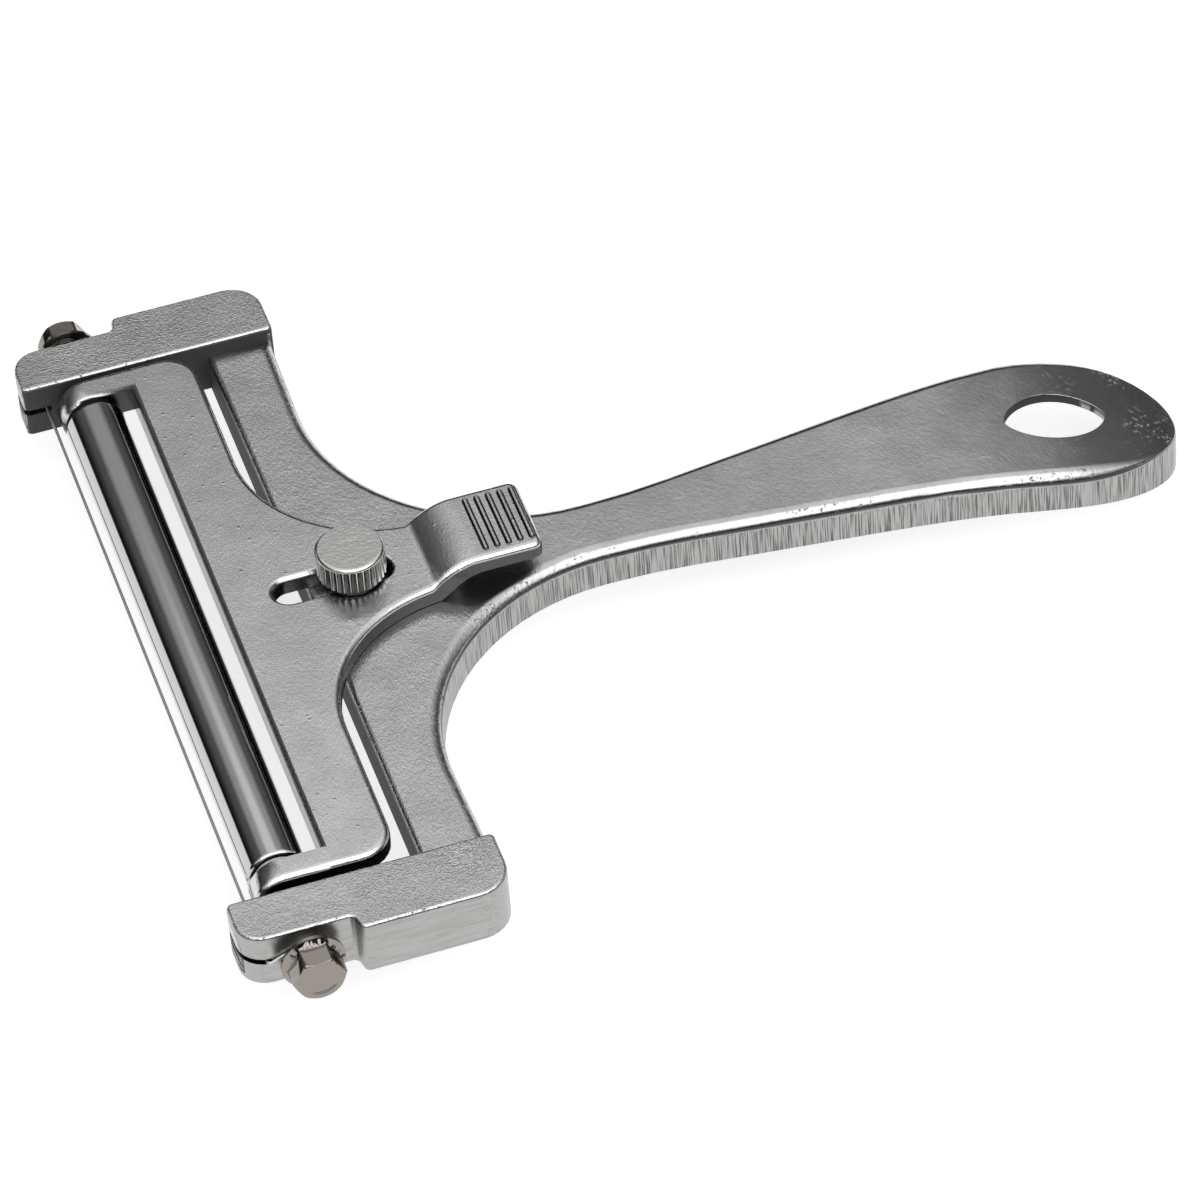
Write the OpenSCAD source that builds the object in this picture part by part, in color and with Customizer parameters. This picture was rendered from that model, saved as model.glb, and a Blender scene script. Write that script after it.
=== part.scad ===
// Hand cheese slicer with a taut wire, a sliding roller carriage and a cast handle.
// Millimetres, Z up, with the handle along +X. The flat underside of the fork is level.
// The pieces are drawn with X counted from the front end of the cheeks and Z from the
// underside of the fork. Then each is moved to the middle of the length, with the lowest
// point of the curved handle at z = 0.

/* [Frame casting] */
// Length from the front end of the cheeks to the tip of the handle
overall_length = 144.2; // [138:0.2:152]
// Cutting width, between the inner faces of the cheeks
cut_width = 100; // [90:1:112]
// Thickness of the yoke plate and the handle
frame_thickness = 5.9; // [5.4:0.1:6.4]
// Distance from the front end to the straight front edge of the yoke plate
yoke_front = 25.5; // [24:0.1:26.2]
// Distance from the front end to the rear edge of the yoke, near the neck
yoke_rear = 33.2; // [32:0.1:36]
// Radius of the two hollow curves between yoke and handle
neck_radius = 29.4; // [24:0.5:30]
// Width of the handle at its neck
neck_width = 10.6; // [9.6:0.1:13]
// Distance from the front end to the place where the handle starts to widen
neck_end = 70; // [66:0.5:74]
// Width of the handle where its rounded end starts
tip_width = 23.3; // [20:0.1:26]
// Length of that rounded end
tip_length = 23.9; // [18:0.1:28]
// Width of the rounded upper edge along the handle
handle_bevel = 1.9; // [1.2:0.1:2.2]
// Width of the rounded upper edge along the yoke
yoke_bevel = 1.8; // [1:0.1:2]
// Width of the rounded upper edge round the tip
tip_bevel = 0.3; // [0.3:0.1:1]
// How far the tip of the handle has curved down
handle_droop = 8.2; // [4:0.1:9]
// Length of the part of the handle that curves down
bend_length = 47; // [36:1:56]
// Thickness of the handle's top skin over the hollow underside
skin = 1.5; // [1.2:0.1:2]
// Thickness of the wall round the hollow underside
wall = 2.3; // [2:0.1:3]

/* [Cheeks] */
// Length of each cheek
cheek_length = 34.8; // [34.4:0.1:40]
// Height of each cheek
cheek_height = 8; // [7.6:0.1:8.2]
// Full width of each cheek
cheek_width = 9.8; // [9:0.1:12]
// Width of the narrower nose of each cheek
nose_width = 7.4; // [6.6:0.1:8]
// Length of that nose, up to the step
nose_length = 14.4; // [13.5:0.1:16]
// Depth of the saw cut in the nose that seats the wire
slit_depth = 3.3; // [2.6:0.1:3.6]
// Height of that saw cut
slit_height = 0.8; // [0.6:0.1:1]
// Height of the saw cut and the screw above the underside
wire_height = 3.8; // [3.6:0.1:4.2]

/* [Hanging hole] */
// Length of the eye-shaped hole
hole_length = 14; // [10:0.2:15]
// Width of the eye-shaped hole
hole_width = 8.8; // [6:0.2:10]
// Distance from the tip to the middle of the hole
hole_inset = 16.5; // [14:0.1:18]

/* [Roller carriage] */
// Top face of the carriage above the underside
carriage_top = 8.6; // [8.5:0.1:9]
// Running gap between the carriage and the frame under it
slide_gap = 0.1; // [0.05:0.05:0.2]
// Gap between each arm and the cheek beside it
side_gap = 1.1; // [0.6:0.1:1.6]
// Distance from the front end to the front face of the crossbar
bar_front = 13.9; // [13.5:0.1:14]
// Distance from the front end to the rear face of the crossbar
bar_rear = 22.9; // [22.4:0.1:23.2]
// Width of each arm that holds the roller
arm_width = 3.9; // [3.4:0.1:5]
// Height of the arms and the front lip
arm_height = 4.7; // [4:0.1:5]
// Thickness of the lip under the front of the crossbar
lip = 2.2; // [1.6:0.1:2.8]
// Radius of the two hollow curves between crossbar and tongue
tongue_radius = 19.5; // [14:0.5:20]
// Width of the tongue and the thumb rest
tongue_width = 12.8; // [11.6:0.1:14]
// Distance from the front end to the foot of the ramp
ramp_start = 40.3; // [39.4:0.1:42]
// Length of the ramp
ramp_length = 6.2; // [5:0.1:7]
// Height of the thumb rest above the carriage's top face
rest_rise = 2.9; // [2:0.1:3.4]
// Distance from the front end to the rear end of the thumb rest
rest_end = 55.5; // [54:0.1:57]
// Radius of the carriage's long upper edges
carriage_round = 0.9; // [0.5:0.1:1.1]
// Number of grip ribs on the thumb rest
ribs = 5; // [3:1:5]
// Distance between the grip ribs
rib_pitch = 1.56; // [1.3:0.02:1.6]
// Width of one grip rib
rib_width = 0.9; // [0.6:0.05:1]
// Length of the grip ribs
rib_length = 10.2; // [8:0.1:10.6]
// Distance from the front end to the front end of the slot
slot_start = 20.7; // [19.6:0.1:21]
// Length of the slot
slot_length = 15.7; // [14.5:0.1:18]
// Width of the slot
slot_width = 4.3; // [4.2:0.1:4.8]

/* [Roller] */
// Outer diameter of the roller tube
roller_d = 8; // [7:0.1:8.1]
// Wall of the roller tube
roller_wall = 0.8; // [0.6:0.1:1.2]
// Distance from the front end to the roller's axis
roller_x = 8.2; // [8:0.1:8.6]
// Diameter of the axle rod
axle_d = 3; // [2.4:0.1:3.4]
// Running clearance round the axle, on the radius
axle_clearance = 0.05; // [0.02:0.01:0.08]
// Gap between the roller and each arm
roller_end_gap = 0.8; // [0.6:0.1:1.4]

/* [Wire and its screws] */
// Diameter of the cutting wire
wire_d = 0.44; // [0.4:0.02:0.6]
// Distance from the front end to the axis of the screws
screw_x = 8.4; // [8:0.1:9]
// Diameter of the screw's shank
screw_d = 3.4; // [3:0.1:3.6]
// Length of the shank inside the cheek
screw_depth = 5.6; // [4.5:0.1:6]
// Width of the hexagon across its flats
hex_flats = 6.1; // [5.5:0.1:6.5]
// Height of the hexagon
hex_height = 2.7; // [2:0.1:3.2]
// Diameter of the flange under the hexagon
flange_d = 8.3; // [7.6:0.1:8.8]
// Thickness of the flange at its rim
flange_rim = 0.5; // [0.4:0.1:0.9]
// Turns of wire wound round each screw
wire_turns = 2; // [1:1:2]

/* [Thumb screw] */
// Distance from the front end to the axis of the thumb screw
thumb_x = 31.3; // [31:0.05:31.6]
// Diameter of the knurled head
head_d = 9.1; // [8:0.1:10]
// Height of the knurled head
head_height = 4.8; // [3.6:0.1:5.4]
// Diameter of the threaded stem
stem_d = 3.9; // [3.6:0.1:4]
// Number of flutes in the knurl
flutes = 32; // [20:1:32]
// Depth of one flute
flute_depth = 0.36; // [0.2:0.02:0.45]

/* [Hidden] */
$fn = 48;

// One overrun serves all cuts
over = 1;
// Fit of a part that is pressed or screwed in, on the radius
snug = 0.03;
// Largest turn between two points of a small arc and of a large one, in degrees
fine_turn = 15;
coarse_turn = 5;
// Arcs over this radius count as large
large_radius = 10;
// Steps in one rounded edge
round_steps = 4;

// Places and sizes that follow from the driving dimensions
half_cut = cut_width / 2;
cheek_outer = half_cut + cheek_width;
nose_outer = half_cut + nose_width;
neck_half = neck_width / 2;
tongue_half = tongue_width / 2;
nose_round = 3.6;
step_round = 0.9;
step_draft = 0.5;
cheek_round = 4.6;
cheek_corner = 0.8;
// The yoke plate is rounded at its ends too, so it meets each cheek in a small groove
plate_overlap = 0.35;
plate_reach = half_cut + plate_overlap;
// The yoke's rear edge runs slightly back towards the cheeks
yoke_sweep = 1.2;
// Length, along each side line, of the soft bend where the handle starts to widen
flare_run = 5.5;
// Front edge of the yoke plate has its own, smaller rounding
front_bevel = 0.9;
// The handle's edge grows from the yoke's over this stretch and fades out before the tip
grow_lead = 4;
grow_trail = 10;
fade_lead = 16;
fade_trail = 2;
grow_from = yoke_rear + grow_lead;
grow_to = neck_end - grow_trail;
fade_from = overall_length - fade_lead;
fade_to = overall_length - fade_trail;
// The curve of the handle's end: its power, its start and the distance between its rungs
droop_power = 3;
bend_start = overall_length - bend_length;
bend_step = 4;
flat_end = min(neck_end, bend_start);
// The tip is an oval of this power, drawn through this many points on each side
tip_power = 2.2;
tip_points = 16;
tip_last = 87;
tip_start = overall_length - tip_length;
hollow_lead = 12;
hollow_start = neck_end - hollow_lead;
hole_x = overall_length - hole_inset;
hole_points = 44;
// The eye's two ends are drawn in by this power
eye_power = 1.28;

carriage_foot = frame_thickness + slide_gap;
carriage_half = half_cut - side_gap;
arm_inner = carriage_half - arm_width;
arm_foot = carriage_top - arm_height;
arm_back = bar_front + lip;
// The arm stops a hair inside the plate, so that the two faces do not coincide
arm_setback = 0.04;
lip_setback = 0.12;
bar_corner = 4.6;
rest_top = carriage_top + rest_rise;
rest_thickness = 2.3;
ramp_steps = 8;
ramp_delay = 1.2;
arm_chamfer = 0.5;
rib_end_share = 0.7;
rest_corner = 1.4;
rest_margin = 1.1;
rib_first = rest_end - rest_margin - rib_pitch * (ribs - 1);
rib_sink = 0.05;
slot_chamfer = 0.5;

roller_sink = 0.25;
roller_axis = carriage_top - roller_d / 2 - roller_sink;
nose_steps = 12;
heel_share = 0.8;
roller_half = arm_inner - roller_end_gap;
roller_chamfer = 0.35;
bush_length = 7;
bush_flange_d = 5.2;
bush_play = 0.4;
bush_flange = roller_end_gap - bush_play;
axle_inset = 0.3;
axle_half = carriage_half - axle_inset;

wire_gap = 0.03;
wire_r = wire_d / 2;
wire_x = slit_depth - wire_r - wire_gap;
wrap_gap = 0.08;
wire_pitch = wire_d + wrap_gap;
wrap_radius = screw_d / 2 + wire_r + wire_gap;
lead_y = nose_outer + wire_r + wire_gap;
wire_sides = 8;
wrap_steps = 20;
bend_steps = 4;
corner_radius = wire_r + wire_gap;
flange_face = lead_y + wire_pitch * wire_turns + wire_r + wire_gap * 2;
flange_cone = 0.6;
hex_chamfer = 0.5;
dish_share = 0.8;
dish_d = hex_flats * dish_share;
dish_depth = 0.25;

seat_step = 1.4;
head_seat_d = head_d - seat_step;
head_seat = 0.35;
head_foot = carriage_top + slide_gap / 2;
head_chamfer = 0.45;
head_rim = 0.55;
flute_r = 0.4;
stem_tip = 0.8;
thread_play = 0.05;
thumb_hole_r = stem_d / 2 + thread_play;

// Shapes that more than one piece uses

function unit(v) = v / norm(v);

function smooth(t) = let (s = max(0, min(1, t))) s * s * (3 - 2 * s);

// The points of one rounded corner at p, between the neighbours a and b
function corner_arc(a, p, b, r) = r <= 0 ? [p] :
    let (
        u = unit(a - p),
        v = unit(b - p),
        half = acos(u * v) / 2,
        middle = p + unit(u + v) * r / sin(half),
        from = p + u * r / tan(half) - middle,
        to = p + v * r / tan(half) - middle,
        start = atan2(from.y, from.x),
        turn = atan2(cross(from, to), from * to),
        steps = ceil(abs(turn) / (r > large_radius ? coarse_turn : fine_turn))
    )
    [for (i = [0 : steps])
        let (angle = start + turn * i / steps)
        middle + r * [cos(angle), sin(angle)]];

// An outline from corners, each [x, y, radius], in counter-clockwise order
function rounded(corners) =
    let (n = len(corners), at = [for (c = corners) [c.x, c.y]])
    [for (i = [0 : n - 1])
        each corner_arc(at[(i + n - 1) % n], at[i], at[(i + 1) % n], corners[i].z)];

// How far and where each point moves when the outline is drawn in by one unit
function inward(points) =
    let (n = len(points))
    [for (i = [0 : n - 1])
        let (
            before = unit(points[i] - points[(i + n - 1) % n]),
            after = unit(points[(i + 1) % n] - points[i]),
            a = [-before.y, before.x],
            b = [-after.y, after.x]
        )
        (a + b) / (1 + a * b)];

// A hollow outline's cap is cut into triangles, one ear at a time

function holds(a, b, c, p) =
    cross(b - a, p - a) >= 0 && cross(c - b, p - b) >= 0 && cross(a - c, p - c) >= 0;

function is_ear(points, ring, k) =
    let (
        m = len(ring),
        ends = [ring[(k + m - 1) % m], ring[k], ring[(k + 1) % m]],
        a = points[ends.x],
        b = points[ends.y],
        c = points[ends.z]
    )
    cross(b - a, c - b) > 0
        && len([for (i = ring) if (len(search(i, ends)) == 0 && holds(a, b, c, points[i])) i]) == 0;

function next_ear(points, ring, k = 0) =
    k >= len(ring) || is_ear(points, ring, k) ? k : next_ear(points, ring, k + 1);

function triangles(points, ring, done = []) =
    len(ring) < 4 ? (len(ring) < 3 ? done : concat(done, [ring])) :
    let (m = len(ring), k = next_ear(points, ring))
    triangles(points,
        concat([for (i = [2 : m - 1]) ring[(k + i) % m]], [ring[(k + 1) % m]]),
        concat(done, [[ring[(k + m - 1) % m], ring[k], ring[(k + 1) % m]]]));

function flat_of(level) = [for (p = level) [p.x, p.y]];

// A slab over an outline, from lows[i] to highs[i] at point i. Its upper edge is rounded
// by widths[i] and its lower edge is chamfered by foot. The last rungs of the near side and
// their mirror images on the far side may climb, so there each cap is a ladder of flat steps.
module slab(points, lows, highs, widths, foot = 0, rungs = 0) {
    n = len(points);
    to = inward(points);
    levels = [
        if (foot > 0) [for (i = [0 : n - 1])
            let (p = points[i] + to[i] * foot) [p.x, p.y, lows[i]]],
        [for (i = [0 : n - 1]) [points[i].x, points[i].y, lows[i] + foot]],
        if (is_undef(widths)) [for (i = [0 : n - 1]) [points[i].x, points[i].y, highs[i]]],
        if (!is_undef(widths)) each [for (k = [0 : round_steps])
            let (angle = 90 * k / round_steps)
            [for (i = [0 : n - 1])
                let (p = points[i] + to[i] * widths[i] * (1 - cos(angle)))
                [p.x, p.y, highs[i] - widths[i] * (1 - sin(angle))]]]
    ];
    last = len(levels) - 1;
    top = last * n;
    flat = n / 2 - 1 - rungs;
    cap = [for (i = [0 : n - 1]) if (rungs == 0 || i <= flat || i >= n - 1 - flat) i];
    polyhedron(
        points = [for (level = levels) each level],
        faces = [
            each triangles(flat_of(levels[0]), cap),
            each [for (t = triangles(flat_of(levels[last]), cap)) [top + t.z, top + t.y, top + t.x]],
            if (rungs > 0) each [for (i = [flat : flat + rungs - 1])
                each [
                    [i, i + 1, n - 2 - i, n - 1 - i],
                    [top + n - 1 - i, top + n - 2 - i, top + i + 1, top + i]
                ]],
            for (k = [0 : last - 1], i = [0 : n - 1])
                let (j = (i + 1) % n)
                each [
                    [k * n + i, (k + 1) * n + i, (k + 1) * n + j],
                    [k * n + i, (k + 1) * n + j, k * n + j]
                ]
        ],
        convexity = 6
    );
}

// The near side of an outline together with its mirror image
function with_mirror_image(side) =
    concat(side, [for (i = [len(side) - 1 : -1 : 0]) [side[i].x, -side[i].y]]);

function even(points, value) = [for (p = points) value];

module both_sides() {
    children();
    mirror([0, 1, 0]) children();
}

// A pin along Y, from one y to another
module pin_y(x, z, r, from, to) {
    translate([x, to, z]) rotate([90, 0, 0]) cylinder(r = r, h = to - from);
}

module in_place() {
    translate([-overall_length / 2, 0, handle_droop]) children();
}

// Frame casting

tip_half = tip_width / 2;
widening = (tip_half - neck_half) / (tip_start - neck_end);
flare_radius = flare_run / tan(atan(widening) / 2);
straight_start = neck_end + flare_run + bend_step;
neck_corner = [neck_end, -neck_half];
yoke_corner = [yoke_rear, -neck_half];
cheek_corner_point = [yoke_rear + yoke_sweep, -plate_reach];

// Half the width of the handle at one place on its straight sides
function handle_at(x) = neck_half + widening * (x - neck_end);

// One point of the oval tip. The side line's slope runs on into it and fades out.
function tip_point(angle) =
    let (
        run = pow(sin(angle) / sin(tip_last), 2 / tip_power),
        half = tip_half * pow(cos(angle), 2 / tip_power),
        more = 1 + widening * tip_length * run * (1 - run * run) / tip_half
    )
    [tip_start + tip_length * run, -half * more];

// The near side of the fork and handle, from the front edge to the tip. The far side is
// its mirror image.
frame_near_side = concat(
    [[yoke_front, -plate_reach], cheek_corner_point],
    corner_arc(cheek_corner_point, yoke_corner, neck_corner, neck_radius),
    corner_arc(yoke_corner, neck_corner, [tip_start, -tip_half], flare_radius),
    [for (x = [max(bend_start, straight_start) : bend_step : tip_start])
        [x, -handle_at(x)]],
    [for (k = [1 : tip_points]) tip_point(tip_last * k / tip_points)]
);
frame_outline = with_mirror_image(frame_near_side);

// How far the handle has curved down at one place
function sag(x) =
    handle_droop * pow(max(0, x - bend_start) / bend_length, droop_power);

// A slab that follows the handle's curve, between two heights of its straight part
module curved_slab(outline, low, high, widths) {
    slab(outline, [for (p = outline) low - sag(p.x)], [for (p = outline) high - sag(p.x)],
        widths, rungs = len([for (p = outline) if (p.x > flat_end + snug) p]) / 2);
}

// The hollow follows the outline at the wall's thickness, from the neck to the tip
hollow_outline = with_mirror_image(concat(
    [[hollow_start, -neck_half + wall]],
    [for (i = [0 : len(frame_near_side) - 1])
        if (frame_near_side[i].x > neck_end)
            frame_near_side[i] + inward(frame_outline)[i] * wall]
));

// Width of the rounded upper edge at one place along the frame
function edge_width(x) =
    x < yoke_front + snug ? front_bevel :
    yoke_bevel
        + (handle_bevel - yoke_bevel) * smooth((x - grow_from) / (grow_to - grow_from))
        - (handle_bevel - tip_bevel) * smooth((x - fade_from) / (fade_to - fade_from));

eye = [for (i = [0 : hole_points - 1])
    let (a = 360 * i / hole_points)
    [hole_x + hole_length * cos(a) / 2,
     hole_width * sign(sin(a)) * pow(abs(sin(a)), eye_power) / 2]];

cheek_outline = rounded([
    [0, half_cut, cheek_corner],
    [cheek_length, half_cut, cheek_corner],
    [cheek_length, cheek_outer, cheek_round],
    [nose_length + step_draft, cheek_outer, step_round],
    [nose_length, nose_outer, step_round],
    [0, nose_outer, nose_round]
]);

module cheek() {
    linear_extrude(cheek_height) polygon(cheek_outline);
}

module frame_casting() {
    color("darkgray") in_place() difference() {
        union() {
            curved_slab(frame_outline, 0, frame_thickness,
                [for (p = frame_outline) edge_width(p.x)]);
            both_sides() cheek();
        }
        // hollow underside of the handle
        curved_slab(hollow_outline, -over, frame_thickness - skin, undef);
        // hanging hole
        translate([0, 0, -handle_droop - over])
            linear_extrude(frame_thickness + handle_droop + 2 * over) polygon(eye);
        // threaded hole for the thumb screw
        translate([thumb_x, 0, -over]) cylinder(r = thumb_hole_r, h = frame_thickness + 2 * over);
        both_sides() {
            // saw cut for the wire
            translate([-over, half_cut - over, wire_height - slit_height / 2])
                cube([over + slit_depth, nose_width + 2 * over, slit_height]);
            // threaded hole for the wire's screw
            pin_y(screw_x, wire_height, screw_d / 2 + snug,
                nose_outer - screw_depth - over / 2, nose_outer + over);
        }
    }
}

// Roller carriage

// Half the width of the tongue at one place, wider where the hollow curve still runs
function tongue_at(x) =
    let (left = max(0, bar_rear + tongue_radius - x))
    tongue_half + tongue_radius - sqrt(tongue_radius * tongue_radius - left * left);

// The ramp leaves the top face at a sharp angle and flattens out into the thumb rest
function ramp(t) = let (s = max(0, min(1, t))) 1 - (1 - s) * (1 - s);

plate_near_side = concat(
    [[bar_front, -carriage_half]],
    corner_arc([bar_front, -carriage_half], [bar_rear, -carriage_half],
        [bar_rear, 0], bar_corner),
    [for (p = corner_arc([bar_rear, -carriage_half], [bar_rear, -tongue_half],
        [rest_end, -tongue_half], tongue_radius)) if (p.x < ramp_start - snug) p],
    [for (k = [0 : ramp_steps])
        let (x = ramp_start + (ramp_length + ramp_delay) * k / ramp_steps)
        [x, -tongue_at(x)]],
    corner_arc([ramp_start, -tongue_half], [rest_end, -tongue_half],
        [rest_end, 0], rest_corner)
);
plate_outline = with_mirror_image(plate_near_side);
plate_rungs = len([for (p = plate_near_side) if (p.x > ramp_start + snug) p]);
plate_lows = [for (p = plate_outline)
    carriage_foot + (rest_top - rest_thickness - carriage_foot)
        * ramp((p.x - ramp_start - ramp_delay) / ramp_length)];
plate_highs = [for (p = plate_outline)
    carriage_top + rest_rise * ramp((p.x - ramp_start) / ramp_length)];

// The side view of one arm, as [x, z]: a round nose about the roller's axis
arm_high = carriage_top - arm_setback;
arm_nose = arm_high - roller_axis;
arm_low = roller_axis - arm_nose;
arm_heel = [roller_x + arm_nose, arm_low];
arm_profile = concat(
    [for (i = [0 : nose_steps])
        let (angle = 90 + 180 * i / nose_steps)
        [roller_x + arm_nose * cos(angle), roller_axis + arm_nose * sin(angle)]],
    corner_arc([roller_x, arm_low], arm_heel, [arm_heel.x, arm_foot], arm_nose * heel_share),
    [[arm_heel.x, arm_foot], [arm_back, arm_foot], [arm_back, arm_high]]
);

module slot_cut(grow, low, high) {
    r = slot_width / 2;
    x0 = slot_start + r;
    x1 = slot_start + slot_length - r;
    for (x = [x0, x1]) translate([x, 0, low]) cylinder(r1 = r, r2 = r + grow, h = high - low);
    translate([x0, 0, 0]) rotate([90, 0, 90]) linear_extrude(x1 - x0)
        polygon([[-r, low], [r, low], [r + grow, high], [-r - grow, high]]);
}

module arm() {
    translate([0, arm_inner, 0]) rotate([-90, 0, 0]) mirror([0, 1, 0])
        slab(arm_profile, even(arm_profile, 0), even(arm_profile, arm_width - arm_setback),
            even(arm_profile, carriage_round), arm_chamfer);
}

// A half-round rib with drawn-in ends, half sunk into the thumb rest
module grip_rib() {
    r = rib_width / 2;
    rotate([90, 0, 0]) rotate_extrude() polygon([
        [0, -rib_length / 2],
        [r * rib_end_share, r * (1 - rib_end_share) - rib_length / 2],
        [r, r - rib_length / 2],
        [r, rib_length / 2 - r],
        [r * rib_end_share, rib_length / 2 - r * (1 - rib_end_share)],
        [0, rib_length / 2]
    ]);
}

module roller_carriage() {
    color("silver") in_place() difference() {
        union() {
            slab(plate_outline, plate_lows, plate_highs,
                even(plate_outline, carriage_round), rungs = plate_rungs);
            both_sides() arm();
            // lip under the front edge of the crossbar
            translate([bar_front + lip_setback, -arm_inner - over, arm_foot])
                cube([lip - lip_setback, 2 * (arm_inner + over),
                    carriage_foot + carriage_round - arm_foot]);
            for (i = [0 : ribs - 1])
                translate([rib_first + i * rib_pitch, 0, rest_top - rib_sink]) grip_rib();
        }
        slot_cut(0, carriage_foot - over, carriage_top + over);
        slot_cut(slot_chamfer + over, carriage_top - slot_chamfer, carriage_top + over);
        // cross-drilled seats of the axle
        both_sides() pin_y(roller_x, roller_axis, axle_d / 2 + snug,
            arm_inner - over, carriage_half + over);
    }
}

// Roller, its bushes and its axle

module roller_tube() {
    inner = roller_d / 2 - roller_wall;
    color("gainsboro") in_place() translate([roller_x, 0, roller_axis]) rotate([90, 0, 0])
        rotate_extrude() polygon([
            [inner, -roller_half],
            [roller_d / 2 - roller_chamfer, -roller_half],
            [roller_d / 2, -roller_half + roller_chamfer],
            [roller_d / 2, roller_half - roller_chamfer],
            [roller_d / 2 - roller_chamfer, roller_half],
            [inner, roller_half]
        ]);
}

module bush() {
    inner = axle_d / 2 + axle_clearance;
    outer = roller_d / 2 - roller_wall - snug;
    translate([roller_x, 0, roller_axis]) rotate([-90, 0, 0]) rotate_extrude() polygon([
        [inner, roller_half - bush_length],
        [outer, roller_half - bush_length],
        [outer, roller_half],
        [bush_flange_d / 2, roller_half],
        [bush_flange_d / 2, roller_half + bush_flange],
        [inner, roller_half + bush_flange]
    ]);
}

module roller_bushes() {
    color("ivory") in_place() both_sides() bush();
}

module roller_axle() {
    color("lightgray") in_place() pin_y(roller_x, roller_axis, axle_d / 2, -axle_half, axle_half);
}

// Cutting wire: wound round one screw, led to the saw cut, bent round the corner of the
// nose, stretched to the other cheek and fastened there in the same way

// Angle, seen from the side, at which the lead leaves the screw
lead_angle = 180 - acos(wrap_radius / (screw_x - wire_x));
wrap_total = wire_turns * wrap_steps;

// Points from the cut end on the screw to the middle of the wire, on the +Y side
half_route = [
    for (i = [wrap_total : -1 : 0])
        let (angle = lead_angle - 360 * i / wrap_steps)
        [screw_x + wrap_radius * cos(angle),
         lead_y + wire_pitch * i / wrap_steps,
         wire_height + wrap_radius * sin(angle)],
    [slit_depth + corner_radius, lead_y, wire_height + corner_radius * (1 - cos(lead_angle - 90))],
    for (i = [0 : bend_steps])
        let (angle = 90 + 90 * i / bend_steps)
        [slit_depth + corner_radius * cos(angle),
         nose_outer + corner_radius * sin(angle),
         wire_height]
];
half_count = len(half_route);
wire_route = concat(half_route,
    [for (i = [half_count - 1 : -1 : 0]) [half_route[i].x, -half_route[i].y, half_route[i].z]]);

// A ring's own sideways direction follows from the ring before it, so the tube never twists
function along(route, i) =
    unit(route[min(i + 1, len(route) - 1)] - route[max(i - 1, 0)]);

function flat_to(v, t) = unit(v - t * (v * t));

function sideways(route) =
    [for (i = 0, v = flat_to([0, 1, 0], along(route, 0));
          i < len(route);
          i = i + 1, v = i < len(route) ? flat_to(v, along(route, i)) : v) v];

module tube_along(route, r, sides) {
    n = len(route);
    side = sideways(route);
    polyhedron(
        points = [for (i = [0 : n - 1])
            let (t = along(route, i), b = cross(t, side[i]))
            for (k = [0 : sides - 1])
                let (a = 360 * k / sides)
                route[i] + r * (cos(a) * side[i] + sin(a) * b)],
        faces = [
            [for (k = [0 : sides - 1]) k],
            [for (k = [sides - 1 : -1 : 0]) (n - 1) * sides + k],
            for (i = [0 : n - 2], k = [0 : sides - 1])
                let (j = (k + 1) % sides)
                each [
                    [i * sides + k, (i + 1) * sides + k, (i + 1) * sides + j],
                    [i * sides + k, (i + 1) * sides + j, i * sides + j]
                ]
        ],
        convexity = 8
    );
}

module cutting_wire() {
    color("dimgray") in_place() tube_along(wire_route, wire_r, wire_sides);
}

// Flanged hexagon screw, drawn on the +Y side with its head outwards

module wire_screw() {
    top = flange_rim + flange_cone + hex_height;
    translate([screw_x, 0, wire_height]) rotate([-90, 0, 0]) {
        translate([0, 0, nose_outer - screw_depth])
            cylinder(r = screw_d / 2, h = flange_face - nose_outer + screw_depth + flange_rim);
        translate([0, 0, flange_face]) difference() {
            union() {
                cylinder(r = flange_d / 2, h = flange_rim);
                translate([0, 0, flange_rim])
                    cylinder(r1 = flange_d / 2, r2 = hex_flats / 2, h = flange_cone);
                intersection() {
                    cylinder(r = hex_flats / sqrt(3), h = top, $fn = 6);
                    cylinder(r1 = hex_flats / sqrt(3) + top - hex_chamfer,
                        r2 = hex_flats / sqrt(3) - hex_chamfer, h = top);
                }
            }
            translate([0, 0, top - dish_depth])
                cylinder(r1 = dish_d / 2 - dish_depth, r2 = dish_d / 2, h = dish_depth + snug);
        }
    }
}

module near_wire_screw() {
    color("rosybrown") in_place() mirror([0, 1, 0]) wire_screw();
}

module far_wire_screw() {
    color("rosybrown") in_place() wire_screw();
}

// Thumb screw: a fluted head on a stem that passes the slot into the frame

module thumb_screw() {
    r = head_d / 2;
    low = head_foot + head_seat;
    high = head_foot + head_height;
    color("lightsteelblue") in_place() translate([thumb_x, 0, 0]) {
        translate([0, 0, stem_tip]) cylinder(r = stem_d / 2, h = low - stem_tip);
        translate([0, 0, head_foot]) cylinder(r = head_seat_d / 2, h = head_seat + snug);
        difference() {
            translate([0, 0, low]) rotate_extrude() polygon([
                [0, 0],
                [r - head_chamfer, 0],
                [r, head_chamfer],
                [r, high - low - head_chamfer],
                [r - head_chamfer, high - low],
                [0, high - low]
            ]);
            for (i = [0 : flutes - 1]) rotate([0, 0, 360 * i / flutes])
                translate([r + flute_r - flute_depth, 0, low - over])
                    cylinder(r = flute_r, h = high - low - head_rim + over);
        }
    }
}

frame_casting();
roller_carriage();
roller_tube();
roller_bushes();
roller_axle();
cutting_wire();
near_wire_screw();
far_wire_screw();
thumb_screw();
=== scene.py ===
import math

import bmesh
import bpy
from mathutils import Matrix, Vector


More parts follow.
